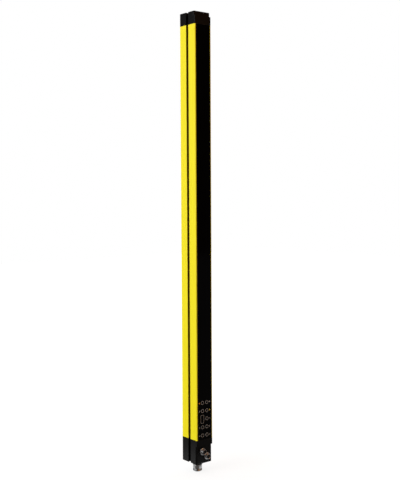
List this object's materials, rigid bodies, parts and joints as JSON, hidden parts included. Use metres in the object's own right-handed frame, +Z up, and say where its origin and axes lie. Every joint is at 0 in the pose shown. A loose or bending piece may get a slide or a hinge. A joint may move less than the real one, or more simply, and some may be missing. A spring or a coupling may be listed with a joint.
{
  "type": "safety light curtain",
  "caption": "Slim upright machine-safety light curtain: yellow T-slot column, dark front window, black end caps and round connectors.",
  "frame": {"origin": "middle of the rear T-slot's mouth, on the plane of the rear face, level with the underside of the bottom cap", "axes": "+Z up along the column; -Y out of the front window, +Y out of the rear face; +X to the right as seen from the front"},
  "size_m": [0.05, 0.0665, 1.1441],
  "materials": {
    "yellow_powder_coat": "satin yellow powder coat on extruded aluminium",
    "dark_acrylic": "polished near-black acrylic that passes infrared",
    "black_moulding": "fine-grained black glass-filled moulding",
    "seal_rubber": "soft black rubber",
    "zinc_screws": "zinc-plated steel",
    "nickel_shell": "nickel-plated turned brass",
    "insert_moulding": "black insulating moulding",
    "gold_contacts": "gold-plated brass",
    "green_board": "green solder mask on glass-fibre board",
    "chip_moulding": "black moulded epoxy",
    "plug_moulding": "cream nylon moulding",
    "ribbon_jacket": "grey ribbon insulation",
    "capacitor_sleeve": "dark blue shrink sleeve",
    "lamp_lens": "milky clear lamp moulding",
    "display_face": "dark display face",
    "black_tube": "matt black light-tight moulding",
    "clear_lens": "clear polished lens",
    "diode_epoxy": "dark infrared-passing epoxy"
  },
  "bodies": {
    "root": {"column_profile": "yellow_powder_coat", "front_window": "dark_acrylic", "window_seal_left": "seal_rubber", "window_seal_right": "seal_rubber", "bottom_cap": "black_moulding", "top_cap": "black_moulding", "cap_gaskets": "seal_rubber", "screws_and_nuts": "zinc_screws", "main_connector_shell": "nickel_shell", "main_connector_insert": "insert_moulding", "main_connector_pins": "gold_contacts", "connector_board": "green_board", "socket_board": "green_board", "socket_board_header": "chip_moulding", "control_board": "green_board", "sensor_board_lower": "green_board", "sensor_board_upper": "green_board", "board_links": "chip_moulding", "board_buffer_lower": "seal_rubber", "board_buffer_upper": "seal_rubber", "control_chips": "chip_moulding", "output_switches": "chip_moulding", "supply_capacitors": "capacitor_sleeve", "harness_ribbon": "ribbon_jacket", "harness_plugs": "plug_moulding", "indicator_ribbon": "ribbon_jacket", "indicator_plugs": "plug_moulding", "indicator_board": "green_board", "indicator_lamps": "lamp_lens", "status_display": "display_face", "light_mask": "black_tube", "beam_amplifiers": "chip_moulding", "lens_tubes": "black_tube", "lenses": "clear_lens", "photodiodes": "diode_epoxy", "upper_socket_shell": "nickel_shell", "upper_socket_insert": "insert_moulding", "upper_socket_contacts": "gold_contacts", "lower_socket_shell": "nickel_shell", "lower_socket_insert": "insert_moulding", "lower_socket_contacts": "gold_contacts"}
  },
  "joints": []
}
